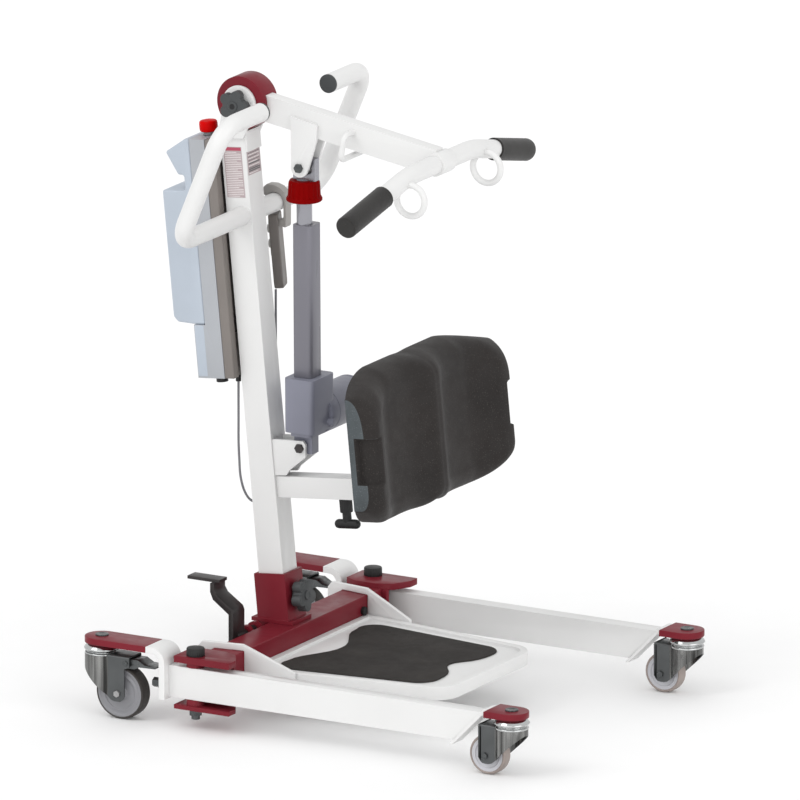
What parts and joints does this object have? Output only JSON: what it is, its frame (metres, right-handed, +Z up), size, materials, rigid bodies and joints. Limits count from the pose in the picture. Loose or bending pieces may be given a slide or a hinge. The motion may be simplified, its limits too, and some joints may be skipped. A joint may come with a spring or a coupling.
{
  "type": "sit to stand lift",
  "caption": "Wheeled standing aid: spreading legs, foot plate, leaning mast with a powered boom, grips, knee pad, battery pack and hand control.",
  "frame": {"origin": "middle of the footprint on the floor, under the four casters", "axes": "+X forward, to the open ends of the legs; +Y to the lift's left; +Z up"},
  "size_m": [0.9301, 0.716, 1.154],
  "materials": {
    "maroon_paint": "gloss",
    "white_paint": "satin",
    "zinc_steel": "satin",
    "grey_tyre": "matte",
    "grey_hub": "satin",
    "black_plastic": "satin",
    "mat_rubber": "matte",
    "grip_rubber": "matte",
    "pad_foam": "matte",
    "actuator_plastic": "satin",
    "actuator_alu": "satin",
    "shell_brown": "satin",
    "shell_grey": "satin",
    "battery_blue": "satin",
    "ring_red": "satin",
    "estop_red": "gloss",
    "pendant_grey": "satin",
    "button_grey": "satin",
    "cord_grey": "satin",
    "dark_steel": "satin"
  },
  "bodies": {
    "root": {"cross_member": "maroon_paint", "mast_socket": "maroon_paint", "pivot_brackets": "maroon_paint", "pivot_bolts": "zinc_steel", "gusset_plates": "white_paint", "footplate": "white_paint", "foot_mat": "mat_rubber", "base_bumpers": "black_plastic", "mast_tube": "white_paint", "mast_head": "white_paint", "lower_bracket": "white_paint", "knee_arm": "white_paint", "push_handles": "white_paint", "handle_caps": "black_plastic", "mount_rail": "dark_steel", "control_box_front": "shell_brown", "control_box_rear": "shell_grey", "cable_glands": "black_plastic", "pendant": "pendant_grey", "pendant_cord": "cord_grey", "pedal_lugs": "maroon_paint"},
    "leg_right": {"leg_tube_right": "white_paint", "leg_gooseneck_right": "white_paint", "caster_plates_right": "maroon_paint"},
    "leg_left": {"leg_tube_left": "white_paint", "leg_gooseneck_left": "white_paint", "caster_plates_left": "maroon_paint"},
    "rear_right_swivel": {"rear_right_fork": "zinc_steel"},
    "rear_right_wheel": {"rear_right_hub": "grey_hub", "rear_right_tyre": "grey_tyre"},
    "rear_right_brake_lever": {"rear_right_brake": "zinc_steel"},
    "front_right_swivel": {"front_right_fork": "zinc_steel"},
    "front_right_roller": {"front_right_wheel": "grey_hub"},
    "rear_left_swivel": {"rear_left_fork": "zinc_steel"},
    "rear_left_wheel": {"rear_left_hub": "grey_hub", "rear_left_tyre": "grey_tyre"},
    "rear_left_brake_lever": {"rear_left_brake": "zinc_steel"},
    "front_left_swivel": {"front_left_fork": "zinc_steel"},
    "front_left_roller": {"front_left_wheel": "grey_hub"},
    "battery_unit": {"battery": "battery_blue"},
    "pedal": {"leg_pedal": "dark_steel"},
    "boom": {"boom_hub": "maroon_paint", "boom_tube": "white_paint", "boom_pins": "zinc_steel", "crossbar": "white_paint", "sling_loops": "white_paint", "grips": "grip_rubber"},
    "actuator": {"actuator_tube": "actuator_alu", "actuator_gearbox": "actuator_plastic", "actuator_motor": "actuator_plastic"},
    "rod": {"actuator_rod": "actuator_alu"},
    "ring": {"release_ring": "ring_red"},
    "knee_support": {"knee_pad": "pad_foam", "knee_bracket": "zinc_steel"},
    "clamp": {"clamp_handle": "black_plastic"},
    "lower_knob": {"mast_knob": "black_plastic"},
    "upper_knob": {"boom_knob": "black_plastic"},
    "estop": {"estop_button": "estop_red"},
    "button_up": {"pendant_button_up": "button_grey"},
    "button_down": {"pendant_button_down": "button_grey"}
  },
  "joints": [
    {"name": "leg_right_open", "type": "hinge", "parent": "root", "child": "leg_right", "pos_m": [-0.232, -0.326, 0.087], "axis": [0, 0, -1], "range_deg": [0, 9]},
    {"name": "leg_left_open", "type": "hinge", "parent": "root", "child": "leg_left", "pos_m": [-0.232, 0.326, 0.087], "axis": [0, 0, 1], "range_deg": [0, 9.5]},
    {"name": "pedal_press", "type": "hinge", "parent": "root", "child": "pedal", "pos_m": [-0.262, -0.125, 0.122], "axis": [0, -1, 0], "range_deg": [0, 26]},
    {"name": "rear_right_turn", "type": "hinge", "parent": "leg_right", "child": "rear_right_swivel", "pos_m": [-0.43, -0.326, 0.13], "axis": [0, 0, 1], "continuous": true},
    {"name": "rear_right_roll", "type": "hinge", "parent": "rear_right_swivel", "child": "rear_right_wheel", "pos_m": [-0.385, -0.326, 0.05], "axis": [0, 1, 0], "continuous": true},
    {"name": "rear_right_brake_press", "type": "hinge", "parent": "rear_right_swivel", "child": "rear_right_brake_lever", "pos_m": [-0.368, -0.326, 0.11], "axis": [0, 1, 0], "range_deg": [0, 6]},
    {"name": "front_right_turn", "type": "hinge", "parent": "leg_right", "child": "front_right_swivel", "pos_m": [0.433, -0.326, 0.105], "axis": [0, 0, 1], "continuous": true},
    {"name": "front_right_roll", "type": "hinge", "parent": "front_right_swivel", "child": "front_right_roller", "pos_m": [0.388, -0.326, 0.0375], "axis": [0, 1, 0], "continuous": true},
    {"name": "rear_left_turn", "type": "hinge", "parent": "leg_left", "child": "rear_left_swivel", "pos_m": [-0.43, 0.326, 0.13], "axis": [0, 0, 1], "continuous": true},
    {"name": "rear_left_roll", "type": "hinge", "parent": "rear_left_swivel", "child": "rear_left_wheel", "pos_m": [-0.385, 0.326, 0.05], "axis": [0, 1, 0], "continuous": true},
    {"name": "rear_left_brake_press", "type": "hinge", "parent": "rear_left_swivel", "child": "rear_left_brake_lever", "pos_m": [-0.368, 0.326, 0.11], "axis": [0, 1, 0], "range_deg": [0, 6]},
    {"name": "front_left_turn", "type": "hinge", "parent": "leg_left", "child": "front_left_swivel", "pos_m": [0.433, 0.326, 0.105], "axis": [0, 0, 1], "continuous": true},
    {"name": "front_left_roll", "type": "hinge", "parent": "front_left_swivel", "child": "front_left_roller", "pos_m": [0.388, 0.326, 0.0375], "axis": [0, 1, 0], "continuous": true},
    {"name": "boom_lift", "type": "hinge", "parent": "root", "child": "boom", "pos_m": [-0.31, 0, 1.104], "axis": [0, -1, 0], "range_deg": [0, 45]},
    {"name": "actuator_tilt", "type": "hinge", "parent": "root", "child": "actuator", "pos_m": [-0.1867, 0, 0.4661], "axis": [0, 1, 0], "range_deg": [0, 3.82]},
    {"name": "rod_extend", "type": "slide", "parent": "actuator", "child": "rod", "axis": [-0.0065, 0, 1], "range_m": [0, 0.1185]},
    {"name": "ring_pull", "type": "slide", "parent": "rod", "child": "ring", "axis": [0.0065, 0, -1], "range_m": [0, 0.008], "stiffness_N_per_m": 600, "springref_m": -0.004},
    {"name": "knee_slide", "type": "slide", "parent": "root", "child": "knee_support", "axis": [0.9952, 0, 0.0983], "range_m": [-0.055, 0.045]},
    {"name": "knee_clamp_turn", "type": "hinge", "parent": "root", "child": "clamp", "pos_m": [-0.10329, 0, 0.37882], "axis": [-0.0983, 0, 0.9952], "continuous": true},
    {"name": "mast_knob_turn", "type": "hinge", "parent": "root", "child": "lower_knob", "pos_m": [-0.20129, 0, 0.18073], "axis": [0.9952, 0, 0.0983], "continuous": true},
    {"name": "boom_knob_turn", "type": "hinge", "parent": "root", "child": "upper_knob", "pos_m": [-0.31, -0.045, 1.104], "axis": [0, -1, 0], "continuous": true},
    {"name": "estop_press", "type": "slide", "parent": "root", "child": "estop", "axis": [0.0983, 0, -0.9952], "range_m": [0, 0.004], "stiffness_N_per_m": 800, "springref_m": -0.002},
    {"name": "pendant_up_press", "type": "slide", "parent": "root", "child": "button_up", "axis": [0.9351, 0.342, 0.0924], "range_m": [0, 0.0012], "stiffness_N_per_m": 500, "springref_m": -0.001},
    {"name": "pendant_down_press", "type": "slide", "parent": "root", "child": "button_down", "axis": [0.9351, 0.342, 0.0924], "range_m": [0, 0.0012], "stiffness_N_per_m": 500, "springref_m": -0.001},
    {"name": "battery_lift", "type": "slide", "parent": "root", "child": "battery_unit", "axis": [-0.0983, 0, 0.9952], "range_m": [0, 0.1]}
  ],
  "couplings": [
    {"joint": "leg_left_open", "follows": "leg_right_open", "ratio": 1},
    {"joint": "pedal_press", "follows": "leg_right_open", "ratio": 2.7778},
    {"joint": "actuator_tilt", "follows": "boom_lift", "ratio": 0.08428},
    {"joint": "rod_extend", "follows": "boom_lift", "m_per_rad": 0.15009}
  ]
}
